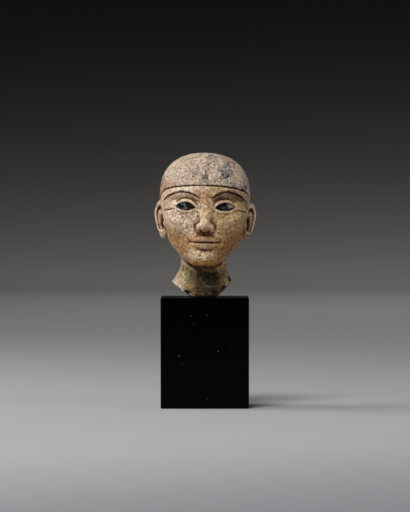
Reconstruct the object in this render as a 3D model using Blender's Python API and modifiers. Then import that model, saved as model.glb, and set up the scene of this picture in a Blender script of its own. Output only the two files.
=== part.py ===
"""A small Egyptian head of a god in a close cap, broken off a statuette at the neck, on its black block.

Metres, +Z up. The face looks along -Y. The origin is the middle of the block's underside.
The head is a free form, so its carving is written in modules, which are shares of its own height.
"""

import math

import bmesh
import bpy
import numpy as np
import openvdb

# Driving sizes
HEAD_HEIGHT = 0.058
BLOCK_WIDTH = 0.0355
BLOCK_DEPTH = 0.0355
BLOCK_HEIGHT = 0.0445
BLOCK_EDGE = 0.0005
REST_GAP = 0.0003
INLAY_GAP = 0.0003

# A sculptor's module: the head from its break to its crown measures 58 of them
MODULES = 58
M = HEAD_HEIGHT / MODULES

# Stance: the head leans back and a little to its left, about the root of the neck
LEAN_BACK = math.radians(3.0)
LEAN_LEFT = math.radians(1.4)
PIVOT = (0.0, 3.0, 12.0)
NECK_X = -0.3
NECK_DRIFT = 1.0

# Eyes, in modules and in the upright head's own axes
EYE = (7.8, -15.7, 35.0)
EYE_YAW = math.radians(15)
EYE_TILT = math.radians(4)
EYE_HALF = 4.3
UPPER_LID = 2.05
LOWER_LID = 1.35
SOCKET_FLOOR = -1.4
EYEBALL = (8.0, 7.0, 3.0)
EYEBALL_DEPTH = 2.65
BREAK_IN_INLAY = -0.35
OUTLINE_STEPS = 12

# Ears: the middle of the plate, how far it turns out from the skull and how far it leans back
EAR = (17.5, 3.2, 30.7)
EAR_YAW = math.radians(40)
EAR_LEAN = 0.12
EAR_HALF_HEIGHT = 7.3
EAR_PLATE = 0.75

# Surface resolution, in modules, and how much of it the finished solid keeps
GRID = 0.5
FIELD_LOW = (-23.0, -24.0, -1.5)
FIELD_HIGH = (23.0, 25.0, 60.0)
HEAD_TRIANGLES = 7600


def soft_union(a, b, k):
    """The nearer of two distances, blended over k modules where they meet."""
    h = np.clip(0.5 + 0.5 * (b - a) / k, 0, 1)
    return b + (a - b) * h - k * h * (1 - h)


def soft_cut(a, b, k):
    """What is inside both distances, with the edge eased over k modules."""
    return -soft_union(-a, -b, k)


def ellipsoid(x, y, z, centre, radii, power=2):
    """An egg; a power above 2 squares its shoulders."""
    shares = [np.abs(v - c) / r for v, c, r in zip((x, y, z), centre, radii)]
    reach = sum(s**power for s in shares) ** (1 / power)
    slope = sum((s ** (power - 1) / r) ** 2 for s, r in zip(shares, radii)) ** 0.5
    return reach ** (power - 1) * (reach - 1) / np.maximum(slope, 1e-6)


def tapered_bar(x, y, z, start, end, start_radius, end_radius):
    """A bar with round ends between two points, its radius changing along it."""
    along = [e - s for s, e in zip(start, end)]
    offset = (x - start[0], y - start[1], z - start[2])
    t = sum(o * d for o, d in zip(offset, along)) / sum(d * d for d in along)
    t = np.clip(t, 0, 1)
    away = np.sqrt(sum((o - t * d) ** 2 for o, d in zip(offset, along)))
    return away - (start_radius + (end_radius - start_radius) * t)


def bell(distance, width):
    return np.exp(-((distance / width) ** 2))


def ease(low, high, value):
    t = np.clip((value - low) / (high - low), 0, 1)
    return t * t * (3 - 2 * t)


def turn(u, v, angle):
    return u * math.cos(angle) - v * math.sin(angle), u * math.sin(angle) + v * math.cos(angle)


def masses(x, y, z):
    """Skull, face, jaw, muzzle, chin and cheeks; the face narrows towards the chin."""
    x = x * (1 + 0.27 * ease(37.0, 9.0, z))
    side = np.abs(x)
    form = soft_union(
        ellipsoid(x, y, z, (-0.4, 2.0, 41.4), (17.8, 20.0, 16.1), 2.3),
        ellipsoid(x, y, z, (0, -2.6, 30.0), (16.9, 15.3, 18.2)),
        5.0,
    )
    form = soft_union(form, tapered_bar(side, y, z, (11.6, 1.5, 23.5), (4.0, -11.0, 15.8), 4.2, 3.7), 5.0)
    form = soft_union(form, ellipsoid(x, y, z, (0, -11.4, 20.8), (8.0, 6.2, 6.0)), 3.5)
    form = soft_union(form, ellipsoid(x, y, z, (0, -13.6, 15.4), (4.9, 4.2, 3.6)), 2.6)
    return soft_union(form, ellipsoid(side, y, z, (9.2, -9.6, 29.8), (5.6, 5.4, 5.2)), 4.0)


def around(x, y):
    """The angle round the skull from the middle of the forehead, the same on both sides."""
    return np.arctan2(np.abs(x), -(y - 1.0))


def brow_line(wrap):
    """Height of the eyebrow, by the distance wrapped round the forehead from its middle."""
    inner = 41.0 - 2.0 * (np.maximum(8.5 - wrap, 0) / 5.7) ** 2
    return inner - 4.0 * (np.maximum(wrap - 8.5, 0) / 11) ** 1.7


def eye_axes(x, y, z):
    """Along the eye outwards, up across it, and out of the face."""
    dx, dy, dz = np.abs(x) - EYE[0], y - EYE[1], z - EYE[2]
    level = dx * math.cos(EYE_YAW) + dy * math.sin(EYE_YAW)
    out = dx * math.sin(EYE_YAW) - dy * math.cos(EYE_YAW)
    along, up = turn(level, dz, -EYE_TILT)
    return along, up, out


def almond(along, up):
    """Distance outside the almond of the eye's opening."""
    share = np.abs(along / EYE_HALF)
    return np.maximum(up - UPPER_LID * (1 - share**2.1), -LOWER_LID * (1 - share**2.3) - up)


def brows_and_lids(form, x, y, z):
    """Orbits, eyebrow ridges, eyeballs and lids."""
    wrap = 17.0 * around(x, y)
    front = ease(4.0, -2.0, y)
    form = form + front * 1.7 * bell(wrap - 7.2, 5.2) * bell(z - 38.2, 1.6)
    form = form + front * 0.8 * bell(wrap - 3.6, 1.9) * bell(z - 35.6, 2.6)
    span = front * ease(2.0, 3.4, wrap) * ease(20.5, 17.5, wrap)
    form = form - span * 0.55 * bell(z - brow_line(wrap) - 0.2, 1.3)
    along, up, out = eye_axes(x, y, z)
    form = soft_union(form, ellipsoid(along, out, up, (0, -4.3, 0), (5.6, 5.0, 4.1)), 1.4)
    opening = almond(along, up)
    near = front * ease(-6, -4, out) * ease(0.6, -0.3, np.abs(along) - EYE_HALF)
    form = form - near * 0.45 * bell(opening - 0.62, 0.5)
    return form + near * 0.22 * bell(opening - 1.75, 0.4) * ease(0, 0.4, up)


def brow_channels(form, x, y, z):
    """The grooves that held the inlaid eyebrows, and the cosmetic lines from the eyes' outer corners."""
    wrap = 17.0 * around(x, y)
    front = ease(4.0, -2.0, y)
    span = front * ease(2.0, 3.4, wrap) * ease(20.5, 17.5, wrap)
    form = form + span * 0.65 * bell(z - brow_line(wrap), 0.5)
    line = front * ease(11.2, 12.2, wrap) * ease(19.5, 17.5, wrap)
    line_height = 35.2 - 0.05 * (wrap - 11)
    form = form - line * 0.25 * bell(z - line_height, 0.75)
    return form + line * 0.35 * bell(z - line_height + 1.0, 0.45)


def nose(form, x, y, z):
    side = np.abs(x)
    form = soft_union(form, tapered_bar(x, y, z, (0, -15.2, 41.5), (0, -19.6, 27.8), 1.3, 1.85), 2.4)
    form = soft_union(form, ellipsoid(x, y, z, (0, -19.7, 27.0), (2.15, 2.3, 2.0)), 1.2)
    form = soft_union(form, ellipsoid(side, y, z, (2.35, -18.0, 26.7), (1.35, 2.1, 1.6)), 0.9)
    form = soft_cut(form, -ellipsoid(side, y, z, (1.5, -19.0, 25.1), (0.75, 1.15, 1.2)), 0.3)
    crease = np.sqrt((side - 4.1) ** 2 + (z - 27.0) ** 2 * 0.35)
    return form + 0.35 * bell(crease, 0.9) * ease(-12, -14, y)


def lips(form, x, y, z):
    """Two rolls that thin out and turn back towards the corners, the line between them, and the chin's hollow."""
    side = np.abs(x)
    upper_radius = 1.35 * np.sqrt(np.clip(1 - (side / 5.9) ** 2, 0.02, 1))
    upper = np.hypot(y + 18.15 - 0.080 * side**2, 0.95 * (z - 22.05 + 0.026 * side**2)) - upper_radius
    lower_radius = 1.40 * np.sqrt(np.clip(1 - (side / 5.3) ** 2, 0.02, 1))
    lower = np.hypot(y + 17.75 - 0.090 * side**2, 0.95 * (z - 19.55 - 0.024 * side**2)) - lower_radius
    form = soft_union(form, np.maximum(upper, side - 5.9), 0.45)
    form = soft_union(form, np.maximum(lower, side - 5.3), 0.45)
    form = form + ease(6.3, 5.0, side) * ease(-12, -14, y) * 0.75 * bell(z - 20.75 - 0.012 * side**2, 0.42)
    corner = np.hypot(side - 5.9, 1.1 * (z - 21.0))
    form = form + 0.6 * bell(corner, 1.1) * ease(-9, -12, y)
    form = form + 0.35 * bell(side, 0.9) * bell(z - 23.9, 0.9) * ease(-14, -16, y)
    return form + 0.5 * bell(z - 17.6, 1.0) * bell(side, 4.2) * ease(-12, -14, y)


def rim_height(angle):
    """Height of the cap's edge: level over the forehead, down past the ears, level again at the nape."""
    temple = 43.9 - 1.3 * np.minimum(angle, 1.0) ** 2 - 3.0 * np.maximum(angle - 1.0, 0)
    return temple - 16.0 * ease(1.1, 2.8, angle)


def cap(form, x, y, z):
    """The cap stands proud of the skin by less than half a module, over a cut line."""
    angle = around(x, y)
    slope = (rim_height(angle + 0.02) - rim_height(angle - 0.02)) / (0.04 * 17.5)
    above = (z - rim_height(angle)) / np.sqrt(1 + slope**2)
    return form - 0.45 * ease(-0.15, 0.35, above) + 0.40 * bell(above + 0.2, 0.45)


def ear(x, y, z):
    """A plate with a rolled rim, an inner fold, a lobe, a tragus and a hollow."""
    px, py, up = np.abs(x) - EAR[0], y - EAR[1], z - EAR[2]
    back = px * math.sin(EAR_YAW) + py * math.cos(EAR_YAW) - EAR_LEAN * up
    out = px * math.cos(EAR_YAW) - py * math.sin(EAR_YAW)
    half_width = 3.1 + 0.20 * np.clip(up, -6, 3) - 0.35 * ease(2.5, 6.5, up)
    rim = 3.7 * (np.hypot(back / half_width, up / EAR_HALF_HEIGHT) - 1)
    form = soft_cut(np.abs(out) - EAR_PLATE, rim, 0.6)
    roll = np.hypot(rim + 0.55, out - 0.65) - 0.62
    roll = roll + 1.2 * ease(-1.2, -2.2, back) * ease(3.5, 1.5, up) + 0.8 * ease(-4.2, -5.5, up)
    form = soft_union(form, roll, 0.35)
    fold = np.hypot(rim + 1.95, out - 0.55) - 0.42 + 0.8 * ease(0.6, -0.6, back) + 0.5 * ease(-3.9, -5.0, up)
    form = soft_union(form, fold, 0.4)
    form = soft_union(form, ellipsoid(back, out, up, (-0.5, 0.2, -6.0), (1.75, 1.0, 2.0)), 0.6)
    form = soft_union(form, ellipsoid(back, out, up, (-2.3, 0.7, -1.6), (0.8, 0.9, 1.3)), 0.5)
    form = soft_cut(form, -ellipsoid(back, out, up, (-0.8, 1.2, -1.4), (1.25, 1.25, 2.6)), 0.4)
    pierced = np.hypot(back + 0.5, up + 5.8)
    return form + 0.45 * bell(pierced, 0.6) * ease(-0.2, 0.4, out)


def upright_head(x, y, z):
    form = masses(x, y, z)
    form = brows_and_lids(form, x, y, z)
    form = nose(form, x, y, z)
    form = lips(form, x, y, z)
    form = brow_channels(form, x, y, z)
    form = cap(form, x, y, z)
    return soft_union(form, ear(x, y, z), 0.6)


def neck(x, y, z):
    """The neck flares into the shoulders just above the break; two muscles run down its front."""
    x = x + NECK_DRIFT * ease(14.0, 3.0, z)
    flare = ease(13.0, 3.0, z)
    across = x / (9.3 + 3.4 * flare)
    deep = (y - 3.6 - 0.10 * (z - 6)) / (10.9 + 2.7 * flare)
    column = soft_cut((np.hypot(across, deep) - 1) * 10.5, z - 26, 3.0)
    muscle = tapered_bar(np.abs(x), y, z, (8.6, 1.5, 21.0), (3.2, -8.4, 1.0), 1.5, 1.5)
    return soft_union(column, muscle, 1.6)


def break_height(x, y):
    """The broken underside: lowest in the middle, where it stands, and rising in an uneven line to both sides."""
    rise = (5.6 + 2.6 * ease(-2, 4, x)) * np.clip((np.abs(x) - 4.6) / 8.0, 0, 2) ** 1.25
    uneven = ease(3.5, 7.0, np.abs(x)) * (0.22 * np.sin(1.3 * x + 0.4 * y) + 0.2 * np.sin(0.9 * y - 0.7 * x))
    return np.maximum(rise + uneven + 3.0 * ease(5, 15, y), 0)


def head_form(x, y, z):
    """Signed distance of the whole head, in modules: negative inside."""
    hy, hz = turn(y - PIVOT[1], z - PIVOT[2], LEAN_BACK)
    hx, hz = turn(x, hz, LEAN_LEFT)
    form = upright_head(hx, hy + PIVOT[1], hz + PIVOT[2])
    form = soft_union(form, neck(x, y, z), 1.8 + 4.0 * ease(2, 12, y))
    return soft_cut(form, break_height(x, y) - z, 0.35)


def collection(name):
    made = bpy.data.collections.new(name)
    bpy.context.scene.collection.children.link(made)
    return made


def finish(name, colour, roughness, metallic=0.0):
    """A plain Principled material."""
    material = bpy.data.materials.new(name)
    material.use_nodes = True
    shader = material.node_tree.nodes["Principled BSDF"]
    shader.inputs["Base Color"].default_value = (*colour, 1.0)
    shader.inputs["Roughness"].default_value = roughness
    shader.inputs["Metallic"].default_value = metallic
    return material


def place(name, mesh, material, home):
    """A new object of this mesh in the collection, smooth but for its sharp edges."""
    mesh.materials.clear()
    mesh.materials.append(material)
    mesh.shade_smooth()
    mesh.set_sharp_from_angle(angle=math.radians(40))
    made = bpy.data.objects.new(name, mesh)
    home.objects.link(made)
    return made


def take(home):
    """The primitive just added, with its scale applied, moved into a collection."""
    made = bpy.context.object
    bpy.ops.object.transform_apply(location=False, rotation=False, scale=True)
    for old in list(made.users_collection):
        old.objects.unlink(made)
    home.objects.link(made)
    return made


def modify(target, kind, **settings):
    modifier = target.modifiers.new(kind.title(), kind)
    for setting, value in settings.items():
        setattr(modifier, setting, value)
    return modifier


def surface_of(form):
    """The zero surface of a distance in modules, as a mesh in metres."""
    low = np.array(FIELD_LOW)
    counts = np.ceil((np.array(FIELD_HIGH) - low) / GRID).astype(int) + 1
    axes = [low[i] + GRID * np.arange(counts[i]) for i in range(3)]
    values = form(*np.meshgrid(*axes, indexing="ij")).astype(np.float32)
    volume = openvdb.FloatGrid(float(values.max()))
    volume.copyFromArray(values)
    points, triangles, quads = volume.convertToPolygons(isovalue=0.0, adaptivity=0.0)
    points = (low + GRID * points) * M
    mesh = bpy.data.meshes.new("carved")
    mesh.from_pydata(points.tolist(), [], quads.tolist() + triangles.tolist())
    return mesh


def eye_outline(side, gap, inner_end):
    """The almond, drawn in by a gap in metres, from its inner end (in modules) to its outer corner."""
    half = EYE_HALF - 1.6 * gap / M
    upper, lower = UPPER_LID - gap / M, LOWER_LID - gap / M
    start = max(inner_end, -half)
    steps = [start + (half - start) * i / OUTLINE_STEPS for i in range(OUTLINE_STEPS + 1)]
    above = [(s, upper * (1 - abs(s / half) ** 2.1)) for s in steps]
    below = [(s, -lower * (1 - abs(s / half) ** 2.3)) for s in steps]
    closing = below[-2:0:-1] if start == -half else below[-2::-1]
    return [(side * s, up) for s, up in above + closing]


def eye_prism(name, points, floor, front):
    """A filled outline in the eye's own plane, from floor to front out of the face, as a closed mesh."""
    curve = bpy.data.curves.new(name, "CURVE")
    curve.dimensions = "2D"
    curve.fill_mode = "BOTH"
    curve.extrude = (front - floor) / 2 * M
    spline = curve.splines.new("POLY")
    spline.points.add(len(points) - 1)
    for point, (along, up) in zip(spline.points, points):
        point.co = (along * M, up * M, 0, 1)
    spline.use_cyclic_u = True
    drawn = bpy.data.objects.new(name, curve)
    bpy.context.scene.collection.objects.link(drawn)
    mesh = bpy.data.meshes.new_from_object(drawn.evaluated_get(bpy.context.evaluated_depsgraph_get()))
    bpy.data.objects.remove(drawn)
    for vertex in mesh.vertices:
        vertex.co.z += (front + floor) / 2 * M
    weld(mesh)
    return mesh


def weld(mesh):
    work = bmesh.new()
    work.from_mesh(mesh)
    bmesh.ops.remove_doubles(work, verts=work.verts, dist=1e-6)
    bmesh.ops.recalc_face_normals(work, faces=work.faces)
    work.to_mesh(mesh)
    work.free()


def guide(target):
    """Marks a solid that only cuts."""
    target.hide_render = True
    target.display_type = "WIRE"
    return target


def set_in_eye(target, stance, side):
    """Puts an object that is drawn in the eye's plane on the head's own left (side 1) or right (side -1)."""
    target.parent = stance
    target.location = [(e - p) * M for e, p in zip((side * EYE[0], EYE[1], EYE[2]), PIVOT)]
    target.rotation_euler = (math.pi / 2, -side * EYE_TILT, side * EYE_YAW)


def make_stance():
    """The upright head's own frame, leaning as the head does."""
    stance = bpy.data.objects.new("stance", None)
    bpy.context.scene.collection.objects.link(stance)
    stance.location = [p * M for p in (PIVOT[0] + NECK_X, PIVOT[1], PIVOT[2])]
    stance.location.z += BLOCK_HEIGHT + REST_GAP
    stance.rotation_mode = "YXZ"
    stance.rotation_euler = (-LEAN_BACK, LEAN_LEFT, 0)
    return stance


def make_block(home):
    """The polished black block that holds the head up."""
    size = (BLOCK_WIDTH, BLOCK_DEPTH, BLOCK_HEIGHT)
    bpy.ops.mesh.primitive_cube_add(size=1, location=(0, 0, BLOCK_HEIGHT / 2), scale=size)
    block = take(home)
    block.name = block.data.name = "display_block"
    block.data.materials.append(finish("black_lacquer", (0.006, 0.006, 0.006), 0.12))
    modify(block, "BEVEL", width=BLOCK_EDGE, segments=3, limit_method="ANGLE")


def make_head(home, guides, stance):
    """The carved head, thinned to what a step away shows, with two sockets cut into it."""
    glaze = finish("worn_faience", (0.46, 0.35, 0.23), 0.72)
    head = place("head", surface_of(head_form), glaze, home)
    head.location = (NECK_X * M, 0, BLOCK_HEIGHT + REST_GAP)
    triangles = sum(len(face.vertices) - 2 for face in head.data.polygons)
    modify(head, "DECIMATE", ratio=HEAD_TRIANGLES / triangles, use_collapse_triangulate=True)
    for side, name in ((1, "left_socket"), (-1, "right_socket")):
        prism = eye_prism(name, eye_outline(side, 0, -EYE_HALF), SOCKET_FLOOR, EYEBALL[2])
        socket = guide(bpy.data.objects.new(name, prism))
        guides.objects.link(socket)
        set_in_eye(socket, stance, side)
        modify(head, "BOOLEAN", operation="DIFFERENCE", solver="EXACT", object=socket)


def make_inlay(home, guides, stance, side, name, inner_end):
    """A domed piece of dark glassy stone that fills its socket, less the gap all round."""
    gap = INLAY_GAP / M
    outline = eye_outline(side, INLAY_GAP, inner_end)
    prism = eye_prism(name, outline, SOCKET_FLOOR + gap, EYEBALL[2])
    inlay = place(name, prism, finish(name + "_stone", (0.018, 0.022, 0.028), 0.14), home)
    set_in_eye(inlay, stance, side)
    bpy.ops.mesh.primitive_uv_sphere_add(segments=48, ring_count=24, radius=M, scale=EYEBALL)
    dome = guide(take(guides))
    dome.name = name + "_dome"
    for vertex in dome.data.vertices:
        vertex.co.z -= EYEBALL_DEPTH * M
    set_in_eye(dome, stance, side)
    modify(inlay, "BOOLEAN", operation="INTERSECT", solver="EXACT", object=dome)


def build():
    for old in list(bpy.data.objects):
        bpy.data.objects.remove(old)
    pieces = collection("statuette_head")
    guides = collection("cutters")
    stance = make_stance()
    make_block(pieces)
    make_head(pieces, guides, stance)
    make_inlay(pieces, guides, stance, 1, "left_eye_inlay", -EYE_HALF)
    make_inlay(pieces, guides, stance, -1, "right_eye_inlay", BREAK_IN_INLAY)


build()
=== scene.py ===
# %% [markdown]
# # A small head of Ptah on its black block
#
# The object is a head 58 mm high, broken from a statuette at the neck. It was carved in a glazed
# composition, nearly all the glaze has gone, dark stones are set into the eyes, and a polished black block
# holds it up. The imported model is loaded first, because it fixes every size. What follows gives it its
# looks: the carving and wear, the stones, the finishes and a plain studio.

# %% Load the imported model
import math

import bpy
import numpy as np
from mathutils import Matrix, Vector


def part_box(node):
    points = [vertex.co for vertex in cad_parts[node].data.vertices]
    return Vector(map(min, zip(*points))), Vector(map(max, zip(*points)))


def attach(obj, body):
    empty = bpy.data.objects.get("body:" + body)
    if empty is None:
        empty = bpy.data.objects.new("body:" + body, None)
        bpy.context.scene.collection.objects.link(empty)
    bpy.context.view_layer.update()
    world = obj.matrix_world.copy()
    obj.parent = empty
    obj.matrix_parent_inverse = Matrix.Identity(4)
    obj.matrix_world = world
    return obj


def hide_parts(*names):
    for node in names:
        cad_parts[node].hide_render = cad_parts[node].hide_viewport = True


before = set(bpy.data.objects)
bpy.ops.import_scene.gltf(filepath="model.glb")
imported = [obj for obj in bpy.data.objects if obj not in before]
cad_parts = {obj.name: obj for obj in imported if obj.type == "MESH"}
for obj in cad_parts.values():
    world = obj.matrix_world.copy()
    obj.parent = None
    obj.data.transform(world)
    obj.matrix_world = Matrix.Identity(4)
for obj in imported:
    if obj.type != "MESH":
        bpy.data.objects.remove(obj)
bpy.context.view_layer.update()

import openvdb
from mathutils import Euler, Matrix, Vector, noise

head_low, head_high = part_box("head")
block_low, block_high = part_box("display_block")

# %% [markdown]
# ## A sculptor's module
#
# An Egyptian carver drew a grid over the stone and placed everything on it. The same is done here: the
# head's height is 58 modules, a millimetre each, and every form below is written in modules, measured up
# from the break, with the face along -Y. A helper turns modules into the model's own metres.

# %% The module and the head's stance
MODULES = 58
M = round(head_high.z - head_low.z, 3) / MODULES
NECK_X = -0.3
FOOT = Vector((NECK_X * M, 0, head_low.z))
LEAN_BACK = math.radians(3.0)
LEAN_LEFT = math.radians(1.4)
PIVOT = (0.0, 3.0, 12.0)


def to_metres(x, y, z):
    """A point in modules as a place in the model."""
    return FOOT + Vector((x, y, z)) * M


print("one module is", round(M * 1000, 3), "mm")

# %% [markdown]
# ## Clay by arithmetic
#
# A head made of single faces would be buried in numbers. In clay, masses are pressed together and a thumb
# smooths their joins. A distance field does just that. Each form is a function that says how far a point
# lies outside it, the nearer of two is their union, and blending where they are alike is the thumb. Adding
# to the distance sinks a groove, taking away raises a ridge.

# %% The sculptor's tools
def soft_union(a, b, k):
    """The nearer of two distances, blended over k modules where they meet."""
    h = np.clip(0.5 + 0.5 * (b - a) / k, 0, 1)
    return b + (a - b) * h - k * h * (1 - h)


def soft_cut(a, b, k):
    """What is inside both distances, with the edge eased over k modules."""
    return -soft_union(-a, -b, k)


def ellipsoid(x, y, z, centre, radii, power=2):
    """An egg; a power above 2 squares its shoulders."""
    shares = [np.abs(v - c) / r for v, c, r in zip((x, y, z), centre, radii)]
    reach = sum(s**power for s in shares) ** (1 / power)
    slope = sum((s ** (power - 1) / r) ** 2 for s, r in zip(shares, radii)) ** 0.5
    return reach ** (power - 1) * (reach - 1) / np.maximum(slope, 1e-6)


def tapered_bar(x, y, z, start, end, start_radius, end_radius):
    """A bar with round ends between two points, its radius changing along it."""
    along = [e - s for s, e in zip(start, end)]
    offset = (x - start[0], y - start[1], z - start[2])
    t = sum(o * d for o, d in zip(offset, along)) / sum(d * d for d in along)
    t = np.clip(t, 0, 1)
    away = np.sqrt(sum((o - t * d) ** 2 for o, d in zip(offset, along)))
    return away - (start_radius + (end_radius - start_radius) * t)


# %% The finer tools
def bell(distance, width):
    return np.exp(-((distance / width) ** 2))


def ease(low, high, value):
    t = np.clip((value - low) / (high - low), 0, 1)
    return t * t * (3 - 2 * t)


def turn(u, v, angle):
    return u * math.cos(angle) - v * math.sin(angle), u * math.sin(angle) + v * math.cos(angle)


def ripple(x, y, z, size):
    """An uneven wave between -1 and 1, for edges that time has worn ragged."""
    k = math.tau / size
    first = np.sin(k * (x + 0.6 * z) + 2 * np.sin(0.5 * k * y))
    return (first + np.sin(k * (1.3 * z - 0.7 * y) + 2 * np.sin(0.6 * k * x))) / 2


# %% [markdown]
# ## The masses
#
# Two egg shapes make nearly the whole head: one for the skull, one for the face. The jaw, the muzzle, the
# chin and the cheekbones are pressed on and blended, and the face is narrowed towards the chin by
# stretching the space it is measured in. The proportions are the ones any drawing manual gives.

# %% Skull, face and jaw
def masses(x, y, z):
    x = x * (1 + 0.27 * ease(37.0, 9.0, z))
    side = np.abs(x)
    form = soft_union(
        ellipsoid(x, y, z, (-0.4, 2.0, 41.4), (17.8, 20.0, 16.1), 2.3),
        ellipsoid(x, y, z, (0, -2.6, 30.0), (16.9, 15.3, 18.2)),
        5.0,
    )
    form = soft_union(form, tapered_bar(side, y, z, (11.6, 1.5, 23.5), (4.0, -11.0, 15.8), 4.2, 3.7), 5.0)
    form = soft_union(form, ellipsoid(x, y, z, (0, -11.4, 20.8), (8.0, 6.2, 6.0)), 3.5)
    form = soft_union(form, ellipsoid(x, y, z, (0, -13.6, 15.4), (4.9, 4.2, 3.6)), 2.6)
    return soft_union(form, ellipsoid(side, y, z, (9.2, -9.6, 29.8), (5.6, 5.4, 5.2)), 4.0)


def around(x, y):
    """The angle round the skull from the middle of the forehead, the same on both sides."""
    return np.arctan2(np.abs(x), -(y - 1.0))


print("the temple is", round(math.degrees(around(16, -2))), "degrees round")

# %% [markdown]
# ## Eyes and brows
#
# The eye is an almond in a plane of its own, turned outwards and tilted up a little at its outer corner.
# Its socket is cut square into the face for the stone. The eyebrows were inlaid as well. Only their ragged
# channels are left, the one on the head's own left worn wide. A raised lid follows the almond, and a
# cosmetic line runs from its outer corner to the temple.

# %% The eye's own plane
EYE = (7.8, -15.7, 35.0)
EYE_YAW = math.radians(15)
EYE_TILT = math.radians(4)
EYE_HALF = 4.3
UPPER_LID = 2.05
LOWER_LID = 1.35
SOCKET_FLOOR = -1.4


def eye_axes(x, y, z):
    """Along the eye outwards, up across it, and out of the face."""
    dx, dy, dz = np.abs(x) - EYE[0], y - EYE[1], z - EYE[2]
    level = dx * math.cos(EYE_YAW) + dy * math.sin(EYE_YAW)
    out = dx * math.sin(EYE_YAW) - dy * math.cos(EYE_YAW)
    along, up = turn(level, dz, -EYE_TILT)
    return along, up, out


def almond(along, up):
    """Distance outside the almond of the eye's opening."""
    share = np.abs(along / EYE_HALF)
    return np.maximum(up - UPPER_LID * (1 - share**2.1), -LOWER_LID * (1 - share**2.3) - up)


print("an eye opens", 2 * EYE_HALF, "by", UPPER_LID + LOWER_LID, "modules")

# %% Orbits and lids
FACE_RADIUS = 17.0


def brow_line(wrap):
    """Height of the eyebrow, by the distance wrapped round the forehead from its middle."""
    inner = 41.0 - 2.0 * (np.maximum(8.5 - wrap, 0) / 5.7) ** 2
    return inner - 4.0 * (np.maximum(wrap - 8.5, 0) / 11) ** 1.7


def brow_span(wrap, front):
    return front * ease(2.0, 3.4, wrap) * ease(20.5, 17.5, wrap)


def brows_and_lids(form, x, y, z):
    wrap = FACE_RADIUS * around(x, y)
    front = ease(4.0, -2.0, y)
    form = form + front * 1.7 * bell(wrap - 7.2, 5.2) * bell(z - 38.2, 1.6)
    form = form + front * 0.8 * bell(wrap - 3.6, 1.9) * bell(z - 35.6, 2.6)
    form = form - brow_span(wrap, front) * 0.55 * bell(z - brow_line(wrap) - 0.2, 1.3)
    along, up, out = eye_axes(x, y, z)
    form = soft_union(form, ellipsoid(along, out, up, (0, -4.3, 0), (5.6, 5.0, 4.1)), 1.4)
    opening = almond(along, up)
    near = front * ease(-6, -4, out) * ease(0.6, -0.3, np.abs(along) - EYE_HALF)
    form = form - near * 0.5 * bell(opening - 0.55, 0.5)
    return form + near * 0.25 * bell(opening - 1.7, 0.35) * ease(0, 0.4, up)


print("a brow's top is", round(float(brow_line(8.5)), 1), "modules up")

# %% Channels and sockets
def channels(form, x, y, z):
    """The empty channels of the eyebrows, and the cosmetic lines."""
    wrap = FACE_RADIUS * around(x, y)
    front = ease(4.0, -2.0, y)
    ragged = 0.16 * ripple(x, y, z, 1.7) + 0.1 * ripple(z, x, y, 0.8)
    worn = ease(3.0, 5.0, x) * ease(16.0, 12.0, x)
    width = 0.42 + 0.3 * worn + ragged
    channel = bell(z - brow_line(wrap) - 0.2 * worn, width)
    form = form + brow_span(wrap, front) * (0.75 + 0.2 * worn) * channel
    line = front * ease(11.2, 12.2, wrap) * ease(19.5, 17.5, wrap)
    line_height = 35.2 - 0.05 * (wrap - 11)
    form = form - line * 0.25 * bell(z - line_height, 0.75)
    return form + line * 0.4 * bell(z - line_height + 1.0, 0.33 + 0.4 * ragged)


def sockets(form, x, y, z):
    along, up, out = eye_axes(x, y, z)
    ragged = 0.1 * ripple(x, y, z, 1.3)
    hole = np.maximum(almond(along, up) + ragged, SOCKET_FLOOR - out + 0.3 * ripple(z, y, x, 1.9))
    return soft_cut(form, -np.maximum(hole, out - 5), 0.18)


print("a socket is", -SOCKET_FLOOR, "modules deep")

# %% [markdown]
# ## Nose and mouth
#
# The nose is a tapered bar down the middle with three small balls at its end, and two holes bored from
# below. The lips are rolls that follow two arcs, thinner and further back towards the corners. The line
# between them is a groove, and small thumb marks sit at the corners, under the nose and over the chin.

# %% The nose
def nose(form, x, y, z):
    side = np.abs(x)
    form = soft_union(form, tapered_bar(x, y, z, (0, -15.2, 41.5), (0, -19.6, 27.8), 1.3, 1.85), 2.4)
    form = soft_union(form, ellipsoid(x, y, z, (0, -19.7, 27.0), (2.15, 2.3, 2.0)), 1.2)
    form = soft_union(form, ellipsoid(side, y, z, (2.35, -18.0, 26.7), (1.35, 2.1, 1.6)), 0.9)
    form = soft_cut(form, -ellipsoid(side, y, z, (1.5, -19.0, 25.1), (0.75, 1.2, 1.2)), 0.25)
    crease = np.sqrt((side - 4.1) ** 2 + (z - 27.0) ** 2 * 0.35)
    return form + 0.35 * bell(crease, 0.8) * ease(-12, -14, y)


# %% The lips
def lips(form, x, y, z):
    side = np.abs(x)
    upper_radius = 1.35 * np.sqrt(np.clip(1 - (side / 5.9) ** 2, 0.02, 1))
    upper = np.hypot(y + 18.15 - 0.080 * side**2, 0.95 * (z - 22.05 + 0.026 * side**2)) - upper_radius
    lower_radius = 1.40 * np.sqrt(np.clip(1 - (side / 5.3) ** 2, 0.02, 1))
    lower = np.hypot(y + 17.75 - 0.090 * side**2, 0.95 * (z - 19.55 - 0.024 * side**2)) - lower_radius
    form = soft_union(form, np.maximum(upper, side - 5.9), 0.45)
    form = soft_union(form, np.maximum(lower, side - 5.3), 0.45)
    form = form + ease(6.3, 5.0, side) * ease(-12, -14, y) * 0.8 * bell(z - 20.75 - 0.012 * side**2, 0.36)
    corner = np.hypot(side - 5.9, 1.1 * (z - 21.0))
    form = form + 0.6 * bell(corner, 1.1) * ease(-9, -12, y)
    form = form + 0.35 * bell(side, 0.9) * bell(z - 23.9, 0.9) * ease(-14, -16, y)
    return form + 0.5 * bell(z - 17.6, 1.0) * bell(side, 4.2) * ease(-12, -14, y)


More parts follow.
